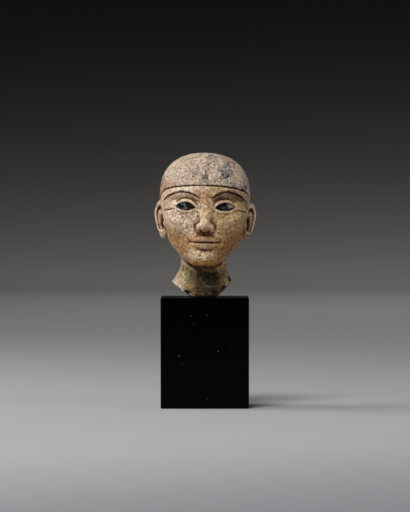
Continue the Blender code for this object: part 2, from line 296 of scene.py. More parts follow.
# %% [markdown]
# ## Ears
#
# An ear is a leaf-shaped plate that stands out from the skull. On it lie a rolled rim, open at the front, a
# second fold inside that, a small flap over the hole, a hollow and a pierced lobe. Each is one line here,
# because they all follow the same distance from the plate's outline.

# %% The ear
EAR = (17.5, 3.2, 30.7)
EAR_YAW = math.radians(40)
EAR_LEAN = 0.12
EAR_HALF_HEIGHT = 7.3
EAR_PLATE = 0.75


def ear_axes(x, y, z):
    """Back along the ear, out of it, up it, and the distance outside its outline."""
    px, py, up = np.abs(x) - EAR[0], y - EAR[1], z - EAR[2]
    back = px * math.sin(EAR_YAW) + py * math.cos(EAR_YAW) - EAR_LEAN * up
    out = px * math.cos(EAR_YAW) - py * math.sin(EAR_YAW)
    half_width = 3.1 + 0.20 * np.clip(up, -6, 3) - 0.35 * ease(2.5, 6.5, up)
    return back, out, up, 3.7 * (np.hypot(back / half_width, up / EAR_HALF_HEIGHT) - 1)


def ear(x, y, z):
    back, out, up, rim = ear_axes(x, y, z)
    form = soft_cut(np.abs(out) - EAR_PLATE, rim, 0.6)
    roll = np.hypot(rim + 0.55, out - 0.65) - 0.62
    roll = roll + 1.2 * ease(-1.2, -2.2, back) * ease(3.5, 1.5, up) + 0.8 * ease(-4.2, -5.5, up)
    form = soft_union(form, roll, 0.35)
    fold = np.hypot(rim + 1.95, out - 0.55) - 0.42 + 0.8 * ease(0.6, -0.6, back) + 0.5 * ease(-3.9, -5.0, up)
    form = soft_union(form, fold, 0.4)
    form = soft_union(form, ellipsoid(back, out, up, (-0.5, 0.2, -6.0), (1.75, 1.0, 2.0)), 0.6)
    form = soft_union(form, ellipsoid(back, out, up, (-2.3, 0.7, -1.6), (0.8, 0.9, 1.3)), 0.5)
    form = soft_cut(form, -ellipsoid(back, out, up, (-0.9, 1.2, -1.0), (1.45, 1.35, 3.3)), 0.4)
    form = form + 0.55 * bell(rim + 1.3, 0.42) * ease(-0.2, 0.3, out) * ease(-4.5, -3.0, up)
    pierced = np.hypot(back + 0.5, up + 5.8)
    return form + 0.5 * bell(pierced, 0.6) * ease(-0.2, 0.4, out)


print("an ear is", 2 * EAR_HALF_HEIGHT, "modules high")

# %% [markdown]
# ## The cap
#
# Ptah wears a cap as close as a bathing cap. It is less than half a module thick. Its edge is a cut line,
# worn uneven, that runs nearly level over the forehead, down in front of the ears and round behind them to
# the nape. Distance to it has to be measured across it, so the height above it is divided by its slope.

# %% The cap's edge
SKULL_RADIUS = 17.5
STEP = 0.02


def rim_height(angle):
    temple = 43.9 - 1.3 * np.minimum(angle, 1.0) ** 2 - 3.0 * np.maximum(angle - 1.0, 0)
    return temple - 16.0 * ease(1.1, 2.8, angle)


def above_rim(x, y, z):
    """Distance above the cap's edge, across it."""
    angle = around(x, y)
    slope = (rim_height(angle + STEP) - rim_height(angle - STEP)) / (2 * STEP * SKULL_RADIUS)
    return (z - rim_height(angle)) / np.sqrt(1 + slope**2)


def ragged_rim(x, y, z):
    return above_rim(x, y, z) + 0.13 * ripple(x, y, z, 2.3) + 0.08 * ripple(z, x, y, 1.0)


def rim_cut(x, y, z):
    worn = 0.5 + 0.5 * ripple(x, z, y, 9.0)
    width = 0.28 + 0.14 * worn + 0.08 * ripple(y, x, z, 1.4)
    return (0.42 + 0.16 * worn) * bell(ragged_rim(x, y, z) + 0.2, width)


def cap(form, x, y, z):
    above = ragged_rim(x, y, z)
    return form - 0.4 * ease(-0.15, 0.3, above) + rim_cut(x, y, z)


print("its edge falls from", rim_height(0.0), "to", round(float(rim_height(math.pi)), 1))

# %% [markdown]
# ## Neck and break
#
# The neck flares just above the break, where the shoulders would begin. Two muscles run down its front to
# the pit of the throat. The break itself is lowest in the middle, where the head stands on the block, and
# rises unevenly to both sides. A faint cut line near it is all that is left of the collar of the god's
# robe. The neck's foot drifts a module to its own right.

# %% Neck, muscles and collar line
NECK_DRIFT = 1.0


def neck(x, y, z):
    x = x + NECK_DRIFT * ease(14.0, 3.0, z)
    flare = ease(13.0, 3.0, z)
    across = x / (9.3 + 3.4 * flare)
    deep = (y - 3.6 - 0.10 * (z - 6)) / (10.9 + 2.7 * flare)
    column = soft_cut((np.hypot(across, deep) - 1) * 10.5, z - 26, 3.0)
    muscle = tapered_bar(np.abs(x), y, z, (8.6, 1.5, 21.0), (3.2, -8.4, 1.0), 1.5, 1.5)
    column = soft_union(column, muscle, 1.6)
    tendon = bell(0.82 * (z - 7.7 + 0.7 * x), 0.7) * ease(-1.0, -3.0, x) * ease(2, -1, y)
    collar = bell(z - 3.4 - 0.03 * x * x, 0.3) * ease(5.6, 4.2, np.abs(x)) * ease(-3, -6, y)
    return column - 0.4 * tendon + 0.16 * collar


def break_height(x, y):
    rise = (5.6 + 2.6 * ease(-2, 4, x)) * np.clip((np.abs(x) - 4.6) / 8.0, 0, 2) ** 1.25
    uneven = 0.22 * np.sin(1.3 * x + 0.4 * y) + 0.2 * np.sin(0.9 * y - 0.7 * x)
    return np.maximum(rise + ease(3.5, 7.0, np.abs(x)) * uneven + 3.0 * ease(5, 15, y), 0)


print("the break rises", round(float(break_height(11, 0)), 1), "modules at its own left")

# %% [markdown]
# ## Old damage
#
# Chips are cuts made by rough-sided lumps. They are placed where the real head has them: one at the tip of
# the nose, one in the edge of the cap and three small bites out of the break, which are painted dark as
# shade.

# %% Chips
CHIPS = (  # centre, radii
    ((0.9, -22.3, 25.5), (2.3, 1.5, 1.6)),
    ((-7.0, -8.5, 1.3), (1.6, 2.2, 0.9)),
    ((8.5, -7.8, 3.6), (1.1, 2.0, 0.75)),
    ((15.2, -8.6, 42.9), (1.3, 1.6, 0.7)),
    ((11.0, -0.5, 7.2), (0.8, 2.4, 0.85)),
)
SHADE_PAINTED_CHIPS = (1, 2, 4)


def chipped(form, x, y, z):
    rough = 0.35 * ripple(x, y, z, 1.6) + 0.2 * ripple(y, z, x, 0.9)
    for centre, radii in CHIPS:
        form = soft_cut(form, -(ellipsoid(x, y, z, centre, radii) + rough), 0.12)
    return form


print(len(CHIPS), "chips,", len(SHADE_PAINTED_CHIPS), "of them dark")

# %% The whole head as one distance
def upright_head(x, y, z):
    form = masses(x, y, z)
    form = brows_and_lids(form, x, y, z)
    form = nose(form, x, y, z)
    form = lips(form, x, y, z)
    form = channels(form, x, y, z)
    form = sockets(form, x, y, z)
    form = cap(form, x, y, z)
    return soft_union(form, ear(x, y, z), 0.6)


def upright(x, y, z):
    """A point of the leaning head in the upright head's own axes."""
    hy, hz = turn(y - PIVOT[1], z - PIVOT[2], LEAN_BACK)
    hx, hz = turn(x, hz, LEAN_LEFT)
    return hx, hy + PIVOT[1], hz + PIVOT[2]


def head_form(x, y, z):
    form = upright_head(*upright(x, y, z))
    form = soft_union(form, neck(x, y, z), 1.8 + 4.0 * ease(2, 12, y))
    form = chipped(form, x, y, z)
    return soft_cut(form, break_height(x, y) - z, 0.3)


print("the middle of the skull is", round(-float(head_form(0.0, 2.0, 41.0)), 1), "modules deep")

# %% [markdown]
# ## From distance to surface
#
# Blender's Remesh tool keeps a shape as a grid of distances and draws a skin where they pass through zero.
# Its library, OpenVDB, comes with Blender, so the functions above can fill the grid. Far from the surface a
# rough value will do, so only the cells near it are worked out in full.

# %% Fill the grid
GRID = 0.25
COARSE = 4
NEAR = 2.0
BATCH = 50000
FIELD_LOW = np.array((-23.0, -24.0, -1.5))
FIELD_HIGH = np.array((23.0, 25.0, 60.0))


def spread(values):
    """Each coarse value over its block of fine cells."""
    for axis in range(3):
        values = np.repeat(values, COARSE, axis)
    return values


def sampled(form):
    """The distance at every grid point: exact near the surface, rough elsewhere."""
    counts = np.ceil((FIELD_HIGH - FIELD_LOW) / (COARSE * GRID)).astype(int) + 1
    axes = [FIELD_LOW[i] + COARSE * GRID * np.arange(counts[i]) for i in range(3)]
    rough = form(*np.meshgrid(*axes, indexing="ij")).astype(np.float32)
    size = (counts - 1) * COARSE
    values = spread(rough)[: size[0], : size[1], : size[2]].copy()
    half = COARSE // 2
    near = spread(np.abs(rough) < NEAR)[half:, half:, half:][: size[0], : size[1], : size[2]]
    wanted = np.nonzero(near)
    for start in range(0, len(wanted[0]), BATCH):
        cells = [index[start : start + BATCH] for index in wanted]
        place = [(FIELD_LOW[i] + GRID * cells[i]).astype(np.float32) for i in range(3)]
        values[tuple(cells)] = form(*place)
    return values


print("a grid step is", GRID, "modules")

# %% Ask for its skin
def skin(form):
    volume = openvdb.FloatGrid(NEAR)
    volume.copyFromArray(sampled(form))
    points, triangles, quads = volume.convertToPolygons(isovalue=0.0, adaptivity=0.0)
    return FIELD_LOW + GRID * points, quads.tolist() + triangles.tolist()


points, faces = skin(head_form)
print("carved skin:", len(points), "points,", len(faces), "faces")

# %% [markdown]
# ## Time's work on the surface
#
# Three things are pressed into every point along its normal: a sandy grain, shallow wear, and pits where
# grains have dropped out, thicker in bruised patches on the cap and a cheek. The break gets a coarser,
# sugary grain.

# %% Grain, wear and pits
BRUISES = (  # across, up, reach, strength
    (8.7, 49.2, 3.0, 1.0), (9.3, 53.4, 2.6, 0.7), (6.6, 51.0, 1.6, 0.75), (0.3, 48.3, 2.5, 0.8),
    (-3.0, 50.3, 2.1, 0.7), (1.8, 52.4, 1.6, 0.65), (2.9, 56.1, 1.9, 0.7), (-7.3, 46.2, 0.9, 0.8),
    (12.7, 44.8, 1.8, 0.8), (15.5, 43.4, 2.2, 0.9), (-9.0, 32.0, 2.4, 0.3),
)


def bruised(x, y, z):
    """How far points are inside a ragged patch on the front of the head."""
    x, z = x + 1.3 * ripple(x, y, z, 4.6), z + 1.1 * ripple(z, y, x, 3.8)
    patches = [strength * bell(np.hypot(x - cx, z - cz), reach) for cx, cz, reach, strength in BRUISES]
    return np.max(patches, 0) * (y < 2)


def pit(p, spacing, chance):
    """Depth, from 0 to 1, of the pit that a point lies in, if there is one."""
    distances, centres = noise.voronoi(p / spacing)
    lot = math.sin(centres[0].dot(Vector((12.9, 78.2, 37.7)))) * 43758.5 % 1
    if lot > chance:
        return 0.0
    reach = (0.12 + 0.34 * lot / chance) * (1 + 0.35 * noise.noise(p * 2.5 / spacing))
    return max(0.0, 1 - (distances[0] / reach) ** 2)


def grain(p):
    return 0.08 * noise.fractal(p * 1.7, 0.7, 2.3, 3) + 0.07 * noise.fractal(p * 0.45, 0.9, 2.0, 2)


print(len(BRUISES), "bruised patches")

# %% A mesh to press them into
def floats(collection, key, width):
    values = np.empty(len(collection) * width, np.float32)
    collection.foreach_get(key, values)
    return values.reshape(-1, width)


raw = bpy.data.meshes.new("head_carved")
raw.from_pydata(points.tolist(), [], faces)
raw.update()
normals = floats(raw.vertex_normals, "vector", 3)
print("a mesh of", len(raw.polygons), "faces")

# %% Press them in
PIT_DEPTH = 0.3
SUGAR_DEPTH = 0.28

clay = [Vector(p) for p in points]
hurt = bruised(*points.T)
broken = ease(-0.35, -0.1, break_height(points[:, 0], points[:, 1]) - points[:, 2])
place = upright(*points.T)
capped = ease(-0.1, 0.3, above_rim(*place))
worse = 0.1 + 0.12 * capped + 0.5 * hurt
pits = np.array([max(pit(p, 1.5, w), 0.6 * pit(p, 0.85, 0.08 + 0.9 * w)) for p, w in zip(clay, worse)])
pits *= 1 - broken
sugar = [SUGAR_DEPTH * noise.fractal(p * 0.9, 0.6, 2.2, 4) if b > 0 else 0 for p, b in zip(clay, broken)]
sand = np.array([grain(p) for p in clay]) * (1 + 0.8 * hurt) * (1 - broken)
sunk = sand + PIT_DEPTH * pits * (1 + 0.5 * hurt) + np.array(sugar) * broken
raw.vertices.foreach_set("co", ((points - normals * sunk[:, None]) * M + np.array(FOOT)).ravel())
print("relief from", round(sunk.min(), 2), "to", round(sunk.max(), 2), "modules")

# %% [markdown]
# ## Marks for the painter
#
# The functions that shaped the head also know what each of its points belongs to. That is written down as
# numbers kept at the mesh's points. The thinning that follows carries them along, and the finish asks for
# them by name.

# %% Which part is which
def write_attribute(mesh, name, values):
    layer = mesh.attributes.new(name, "FLOAT", "POINT")
    layer.data.foreach_set("value", np.asarray(values, np.float32))


x, y, z = place
wrap = FACE_RADIUS * around(x, y)
smear = ease(2.5, 5.0, x) * brow_span(wrap, ease(4, -2, y)) * bell(z - brow_line(wrap) + 0.8, 1.9)
cut = np.maximum(channels(0.0, x, y, z), rim_cut(x, y, z))
along, up, out = eye_axes(x, y, z)
off_ear = ease(0.1, 0.7, ear(x, y, z))
_, raised, _, outside = ear_axes(x, y, z)
in_ear = ease(0.85, 0.4, raised) * ease(-0.5, -0.9, outside) * (raised > -0.6)
bites = np.min([ellipsoid(*points.T, *CHIPS[i]) for i in SHADE_PAINTED_CHIPS], 0)
rise = points[:, 2] - break_height(points[:, 0], points[:, 1])
marks = {
    "pits": pits,
    "bruise": hurt,
    "fracture": broken,
    "break_edge_highlight": ease(0.75, 0.45, rise) * ease(-4, -6, points[:, 0]) * (1 - 0.5 * broken),
    "bite_painted_shade": ease(0.9, 0.3, bites),
    "cap": capped,
    "neck": ease(-0.5, 0.5, upright_head(x, y, z) - neck(*points.T)),
    "lines": np.clip(cut / 0.45, 0, 1) * (1 - broken) * off_ear,
    "smear": smear,
    "socket": ease(0.25, -0.05, almond(along, up)) * ease(-3, -2, out) * (points[:, 1] < 0),
    "ear": 1 - off_ear,
    "ear_hollow_painted_shade": (1 - off_ear) * in_ear,
    "ear_roll_painted_highlight": (1 - off_ear) * ease(0.9, 1.15, raised),
}
for name, values in marks.items():
    write_attribute(raw, name, values)
print("kept at each point:", ", ".join(marks))

# %% [markdown]
# ## Thinning the mesh
#
# The skin has more triangles than a reusable part should carry. Decimate removes the ones that say least,
# so the smooth back of the cap pays for the eyes and the ears.

# %% Tools that act on one piece
def deselect():
    for o in bpy.context.selected_objects:
        o.select_set(False)


def placed(name, data):
    piece = bpy.data.objects.new(name, data)
    bpy.context.scene.collection.objects.link(piece)
    return piece


def activate(piece):
    deselect()
    piece.select_set(True)
    bpy.context.view_layer.objects.active = piece


def apply_modifier(piece, kind, **settings):
    modifier = piece.modifiers.new(kind.title(), kind)
    for setting, value in settings.items():
        setattr(modifier, setting, value)
    activate(piece)
    bpy.ops.object.modifier_apply(modifier=modifier.name)


# %% Thin it
MOST_TRIANGLES = 190000

head = placed("carved_head", raw)
triangles = sum(len(p.vertices) - 2 for p in raw.polygons)
apply_modifier(head, "DECIMATE", ratio=MOST_TRIANGLES / triangles, use_collapse_triangulate=True)
activate(head)
bpy.ops.object.shade_smooth()
print("head:", len(head.data.polygons), "triangles")

# %% [markdown]
# ## Reading the surface back
#
# Dirt settles in hollows and edges are rubbed bare, and grooves and orbits also get painted shade, so the
# finish has to know which is which. A copy of the points is smoothed: one that moves outwards was in a
# hollow, one that moves inwards was on an edge. A few rounds of smoothing find pits, many rounds find
# grooves and orbits.

# %% Hollows and edges
def smoothed(points, edges, rounds):
    """The points after each has moved, several times, to the middle of its neighbours."""
    ends = np.concatenate([edges, edges[:, ::-1]])
    count = np.bincount(ends[:, 0], minlength=len(points))[:, None]
    for _ in range(rounds):
        sums = [np.bincount(ends[:, 0], points[ends[:, 1], axis], len(points)) for axis in range(3)]
        points = 0.5 * points + 0.5 * np.stack(sums, 1) / count
    return points


places = floats(head.data.vertices, "co", 3).astype(float)
normals = floats(head.data.vertex_normals, "vector", 3)
edges = np.empty(len(head.data.edges) * 2, np.int32)
head.data.edges.foreach_get("vertices", edges)
edges = edges.reshape(-1, 2)
narrow = ((smoothed(places, edges, 4) - places) * normals).sum(1) / M
wide = ((smoothed(places, edges, 60) - places) * normals).sum(1) / M
print("hollows up to", round(narrow.max(), 2), "and", round(wide.max(), 2), "modules deep")

# %% Masks for the finish
FULL_HOLLOW = 0.05
FULL_GROOVE = 0.32
FULL_EDGE = 0.06

write_attribute(head.data, "hollow", np.clip(narrow / FULL_HOLLOW, 0, 1))
write_attribute(head.data, "groove_dirt_and_shade", np.clip(wide / FULL_GROOVE, 0, 1))
write_attribute(head.data, "edge", np.clip(-narrow / FULL_EDGE, 0, 1))
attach(head, "root")
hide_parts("head")
print("marks on", len(head.data.vertices), "points")

# %% [markdown]
# ## The eye stones
#
# Each stone is a slice of dark glassy rock, cut to the almond and polished to a dome. It is modelled as it
# was made: a disc is drawn to the almond, pulled up into a thick slice, and ground to a ball. Nearly half
# of the stone on the head's own right has broken away, so that slice is split first.

# %% Where an eye lies
def eye_place(side):
    """Where the eye's own plane lies in the leaning head."""
    lean = Matrix.Rotation(-LEAN_BACK, 4, "X") @ Matrix.Rotation(LEAN_LEFT, 4, "Y")
    own = Matrix.Translation([(e - p) * M for e, p in zip((side * EYE[0], EYE[1], EYE[2]), PIVOT)])
    turned = Euler((math.pi / 2, -side * EYE_TILT, side * EYE_YAW)).to_matrix().to_4x4()
    return Matrix.Translation(to_metres(*PIVOT)) @ lean @ own @ turned


print("its own left eye is", round(eye_place(1).translation.z * 1000, 1), "mm over the floor")

# %% Cut an almond slice
EYEBALL = (8.0, 7.0, 3.0)
GAP = 0.3
OUTLINE = 64


def almond_slice(name):
    deselect()
    bpy.ops.mesh.primitive_circle_add(vertices=OUTLINE, radius=1, fill_type="NGON")
    stone = bpy.context.object
    stone.name = stone.data.name = name
    half = EYE_HALF - 1.6 * GAP
    for vertex in stone.data.vertices:
        height = (UPPER_LID if vertex.co.y > 0 else LOWER_LID) - GAP
        along = math.copysign(abs(vertex.co.x) ** 0.9, vertex.co.x)
        edge = math.copysign(1 - abs(along) ** 2.1, vertex.co.y) if abs(vertex.co.y) > 1e-4 else 0
        vertex.co = (along * half * M, edge * height * M, (SOCKET_FLOOR + GAP) * M)
    bpy.ops.object.mode_set(mode="EDIT")
    bpy.ops.mesh.select_all(action="SELECT")
    rise = (EYEBALL[2] - SOCKET_FLOOR) * M
    bpy.ops.mesh.extrude_region_move(TRANSFORM_OT_translate={"value": (0, 0, rise)})
    bpy.ops.mesh.select_all(action="SELECT")
    bpy.ops.mesh.normals_make_consistent(inside=False)
    bpy.ops.object.mode_set(mode="OBJECT")
    return stone


# %% Split it, and turn a ball to grind it to
EYEBALL_DEPTH = 2.65
BREAK_IN_INLAY = -0.35


def split(stone, side):
    """Takes the inner part of a slice away along an uneven break."""
    activate(stone)
    bpy.ops.object.mode_set(mode="EDIT")
    bpy.ops.mesh.select_all(action="SELECT")
    middle = (side * BREAK_IN_INLAY * M, 0, 0)
    away = (-side, 0.22, 0.25)
    bpy.ops.mesh.bisect(plane_co=middle, plane_no=away, use_fill=True, clear_outer=True)
    bpy.ops.object.mode_set(mode="OBJECT")


def grinding_ball():
    deselect()
    bpy.ops.mesh.primitive_uv_sphere_add(segments=96, ring_count=48, radius=M, scale=EYEBALL)
    ball = bpy.context.object
    ball.location.z = -EYEBALL_DEPTH * M
    return ball


# %% Dome and set the stones
def eye_stone(name, node, side, whole):
    stone = almond_slice(name)
    if not whole:
        split(stone, side)
    ball = grinding_ball()
    apply_modifier(stone, "BOOLEAN", operation="INTERSECT", solver="EXACT", object=ball)
    bpy.data.objects.remove(ball)
    sharp = {"limit_method": "ANGLE", "angle_limit": math.radians(35)}
    apply_modifier(stone, "BEVEL", width=0.09 * M, segments=3, **sharp)
    stone.data.transform(eye_place(side))
    activate(stone)
    bpy.ops.object.shade_smooth_by_angle(angle=math.radians(30))
    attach(stone, "root")
    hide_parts(node)
    return stone


left_stone = eye_stone("left_eye_stone", "left_eye_inlay", 1, True)
right_stone = eye_stone("right_eye_stone", "right_eye_inlay", -1, False)
print("stones:", len(left_stone.data.polygons), "and", len(right_stone.data.polygons), "faces")

# %% [markdown]
# ## Writing finishes as sums
#
# A finish is a picture worked out from a point's place. Nodes do the sums, but a page of links hides them.
# So a small class stands for a socket: adding or multiplying two of them adds the Math node that does it,
# and a finish reads like a sentence.

# %% A socket that can be reckoned with
class Signal:
    """A number on its way through a finish's nodes."""

    def __init__(self, finish, socket):
        self.finish = finish
        self.socket = socket

    def reckon(self, operation, first, second):
        return self.finish.add("ShaderNodeMath", {"operation": operation}, {0: first, 1: second})

    def __add__(self, other):
        return self.reckon("ADD", self, other)

    __radd__ = __add__

    def __sub__(self, other):
        return self.reckon("SUBTRACT", self, other)

    def __rsub__(self, other):
        return self.reckon("SUBTRACT", other, self)

    def __mul__(self, other):
        return self.reckon("MULTIPLY", self, other)

    __rmul__ = __mul__

    def at_least(self, least):
        return self.reckon("MAXIMUM", self, least)

    def __rpow__(self, base):
        return self.reckon("POWER", base, self)

    def between(self, low, high):
        """0 up to low, 1 from high on, and a soft step between; low may be the larger."""
        settings = {"interpolation_type": "SMOOTHSTEP"}
        if low > high:
            return 1 - self.finish.add("ShaderNodeMapRange", settings, {0: self, 1: high, 2: low})
        return self.finish.add("ShaderNodeMapRange", settings, {0: self, 1: low, 2: high})

    def band(self, low, rise, fall, high):
        """1 from rise to fall, 0 below low and above high."""
        return self.between(low, rise) * self.between(high, fall)


# %% Paint from a swatch
def paint(red, green, blue):
    """A swatch's colour, 0 to 255, in the linear light that shaders want."""
    parts = [c / 255 for c in (red, green, blue)]
    return (*[c / 12.92 if c <= 0.04045 else ((c + 0.055) / 1.055) ** 2.4 for c in parts], 1.0)


print("mid grey is", round(paint(128, 128, 128)[0], 2), "of white's light")

# %% The nodes behind a finish
class Recipe:
    """A Principled material whose sockets are fed by signals."""

    def __init__(self, name):
        self.material = bpy.data.materials.new(name)
        self.material.use_nodes = True
        self.tree = self.material.node_tree
        self.shader = self.tree.nodes["Principled BSDF"]
        self.place = self.add("ShaderNodeTexCoord", output="Object")
        parts = [self.add("ShaderNodeSeparateXYZ", None, {0: self.place}, axis) for axis in "XYZ"]
        self.x, self.y, self.z = parts

    def add(self, kind, settings=None, inputs=None, output=0):
        """Any node: its settings first, then the values or links of its sockets."""
        node = self.tree.nodes.new(kind)
        for key, value in (settings or {}).items():
            setattr(node, key, value)
        for key, value in (inputs or {}).items():
            self.feed(node.inputs[key], value)
        return Signal(self, node.outputs[output])

    def feed(self, socket, value):
        if isinstance(value, Signal):
            self.tree.links.new(value.socket, socket)
        else:
            socket.default_value = value

    def set(self, **values):
        """Feeds the shader: base_color becomes Base Color."""
        for key, value in values.items():
            self.feed(self.shader.inputs[key.replace("_", " ").title().replace("Ior", "IOR")], value)

    def mask(self, name):
        return self.add("ShaderNodeAttribute", {"attribute_name": name}, None, "Fac")

    def report(self, step):
        print(step + ":", len(self.tree.nodes), "nodes so far")


# %% Patterns and layers
class Finish(Recipe):
    """Colours laid over each other, and the patterns that say where."""

    colour = None

    def shifted(self, offset):
        inputs = {"Vector": self.place, "Location": (offset, 2 * offset, -offset)}
        return self.add("ShaderNodeMapping", None, inputs)

    def cloud(self, size, detail=3.0, rough=0.55, offset=0.0):
        """Soft noise, 0 to 1, with lumps of the given size in metres."""
        inputs = {"Vector": self.shifted(offset), "Scale": 1 / size, "Detail": detail, "Roughness": rough}
        return self.add("ShaderNodeTexNoise", None, inputs)

    def cells(self, size, offset=0.0, output="Distance"):
        """Distance from the nearest of many scattered points, in cell widths."""
        inputs = {"Vector": self.shifted(offset), "Scale": 1 / size}
        return self.add("ShaderNodeTexVoronoi", None, inputs, output)

    def grains(self, size, offset=0.0):
        """Two unrelated numbers, 0 to 1, that change from grain to grain."""
        colour = self.cells(size, offset, "Color")
        return [self.add("ShaderNodeSeparateColor", None, {0: colour}, part) for part in ("Red", "Green")]

    def mix(self, factor, under, over, blend="MIX"):
        settings = {"data_type": "RGBA", "blend_type": blend}
        return self.add("ShaderNodeMix", settings, {0: factor, 6: under, 7: over}, 2)

    def cover(self, factor, red, green, blue):
        """Paints a swatch over the colour so far."""
        self.colour = self.mix(factor, self.colour, paint(red, green, blue))

    def wash(self, factor, red, green, blue):
        """Lets through only a share of each light, as a stain does."""
        self.colour = self.mix(factor, self.colour, (red, green, blue, 1.0), "MULTIPLY")

    def bump(self, height, strength, distance, **under):
        inputs = {"Height": height, "Strength": strength, "Distance": distance}
        return self.add("ShaderNodeBump", None, {**inputs, **under})

    def dress(self, *pieces):
        """Gives pieces this finish and no other."""
        for piece in pieces:
            piece.data.materials.clear()
            piece.data.materials.append(self.material)
        self.report(self.material.name)


# %% [markdown]
# ## The worn faience
#
# Faience is a paste of ground quartz under a thin glaze. With the glaze gone it drinks up what the ground
# holds, so its colour is a map of its burial. The face is pale, the cap greyish beige with rosy areas. It
# could be painted by hand, but a rule for each stain says why it is there: cover lays a colour over the
# last ones, wash lets only a share of the light through.

# %% The paste
ware = Finish("worn_faience_finish")
height = (ware.z - FOOT.z) * (1 / M)
across = (ware.x - FOOT.x) * (1 / M)
depth = ware.y * (1 / M)
lumps = ware.cloud(6 * M, 4, 0.6)
drift = ware.cloud(14 * M, 3, 0.5, 0.3)
streaks = ware.cloud(2.6 * M, 4, 0.68, 0.9)
grit = ware.cloud(1.0 * M, 4, 0.75, 0.1)
on_cap, on_neck, bruise = [ware.mask(name) for name in ("cap", "neck", "bruise")]

ware.colour = ware.mix(lumps.between(0.38, 0.62), paint(255, 236, 210), paint(246, 220, 192))
cap_paste = ware.mix(streaks.between(0.35, 0.65), paint(223, 202, 178), paint(186, 172, 154))
ware.colour = ware.mix(on_cap * 0.8, ware.colour, cap_paste)
rosy = ware.cloud(4.0 * M, 4, 0.65, 0.5).between(0.5, 0.62) * (0.25 + 0.35 * on_cap)
ware.cover(rosy, 200, 158, 140)
temple = across.between(-10.5, -15.0) * height.band(32, 36, 45, 50)
ware.wash(temple * (0.5 + 0.5 * streaks.between(0.4, 0.6)), 0.78, 0.58, 0.52)
ware.report("paste")

# %% [markdown]
# ## Grain by grain
#
# Seen close, the surface is a mix of grains. Green and blue ones are the glaze's copper, left in the cap's
# bruised patches; white ones are salt, brown ones rust, black ones grit. Scattered cells stand for them.

# %% Blue glaze, salt and dark grit
def sprinkled(size, low, high, patches, offset):
    """Round grains, thicker in some places than in others."""
    thick = ware.cloud(patches, 2, 0.5, offset).between(low, high)
    return ware.cells(size, offset).between(0.34, 0.16) * thick


coarse_tone, coarse_hue = ware.grains(0.8 * M, 1.0)
fine_tone, fine_hue = ware.grains(0.42 * M, 2.0)
copper = (0.5 * bruise + ware.cloud(2.4 * M, 4, 0.65, 5.9)).between(0.74, 0.9)
ware.cover(copper * on_cap * 0.5, 124, 122, 92)
blue = (0.5 * bruise + ware.cloud(1.3 * M, 4, 0.65, 2.4)).between(0.74, 0.86)
ware.cover(blue * on_cap * 0.75, 108, 120, 142)
ware.cover(sprinkled(0.8 * M, 0.42, 0.6, 3 * M, 3.7) * 0.55, 255, 244, 226)
off_cap = 1 - 0.45 * on_cap
ware.cover(coarse_hue.between(0.74, 0.80) * off_cap * 0.55, 190, 148, 130)
ware.cover(fine_hue.between(0.70, 0.76) * off_cap * 0.55, 204, 160, 104)
ware.cover(sprinkled(1.1 * M, 0.5, 0.64, 4 * M, 0.2) * 0.75, 120, 84, 60)
dark_grit = ware.cells(0.9 * M, 5.1).between(0.36, 0.2) * (1.6 * bruise + streaks).between(0.66, 1.3)
ware.cover(dark_grit * 0.9, 62, 52, 48)
clots = ware.cells(1.5 * M, 6.3).between(0.38, 0.28) * (bruise + 0.5 * (grit - 0.5)).between(0.45, 0.7)
ware.cover(clots * on_cap * 0.95, 22, 22, 26)
grain_tone = (0.7 + 0.4 * coarse_tone.between(0.0, 0.5)) * (0.74 + 0.4 * fine_tone.between(0.0, 0.6))
uneven = grain_tone * (0.64 + 0.7 * grit.between(0.34, 0.66))
ware.colour = ware.mix(1.0, ware.colour, uneven, "MULTIPLY")
ware.report("grains")

# %% [markdown]
# ## Iron stains
#
# Iron from the ground has stained the face golden from the cheeks down and brown on its own left. Each
# stain has a place in modules, and a cloud breaks up its edge. Inside it grains show darker and lighter.

# %% Gold on the jaw, brown on its own left
off_ears = 1 - 0.75 * ware.mask("ear")
on_face = (1 - on_cap) * height.between(14, 18) * off_ears
olive_gold = on_face * (0.5 * drift + 0.5 * streaks + 0.012 * across).between(0.40, 0.62)
ware.wash(olive_gold, 0.86, 0.77, 0.56)
jaw = (height + 9 * lumps - 4.5 - 0.016 * across * across).between(30, 21) * off_ears * (1 - on_neck)
gold = jaw * (0.82 + 0.18 * streaks.between(0.3, 0.58))
from_chin = 0.6 * (across + 1.2) * (across + 1.2) + 2.2 * (height - 17) * (height - 17)
ware.wash(gold * (0.3 + 0.7 * from_chin.between(10, 34)), 0.68, 0.46, 0.20)
own_left = (across + 6 * drift - 3).between(3, 11) * (height + 5 * lumps).between(34, 24)
patchy = ware.cloud(2.2 * M, 4, 0.7, 1.3).between(0.36, 0.58)
brown = own_left * (0.4 + 0.6 * patchy) * off_ears * (1 - 0.8 * on_neck)
ware.wash(brown, 0.76, 0.65, 0.55)
ware.report("gold and brown")

# %% Ochre, darker under the nose, and the grains in the stains
ochre = (across + 4 * drift).between(3, 9) * height.band(24, 30, 33, 37) * off_ears
glabella = (across * across * 0.35 + (height - 40) * (height - 40)).between(16, 4)
ware.wash((0.25 * ochre + glabella) * streaks.between(0.34, 0.52), 0.76, 0.60, 0.42)
# Darker and browner under the nose.
under_nose = (across * across + (height - 25) * (height - 25)).between(16, 5) * depth.between(-16.5, -18)
ware.wash(under_nose, 0.70, 0.50, 0.38)
stained = (gold + brown + 0.4 * olive_gold).between(0.1, 0.8)
ware.wash(stained * ware.cells(1.0 * M, 8.3).between(0.42, 0.2) * 0.8, 0.36, 0.26, 0.18)
ware.cover(stained * ware.cells(1.1 * M, 9.7).between(0.34, 0.18) * 0.45, 240, 212, 166)
fleck = ware.cloud(0.9 * M, 3, 0.8, 7.7)
ware.wash(stained * fleck.between(0.52, 0.62) * 0.7, 0.46, 0.36, 0.28)
ware.cover(stained * fleck.between(0.46, 0.34) * 0.6, 238, 206, 158)
ware.report("ochre and flecks")
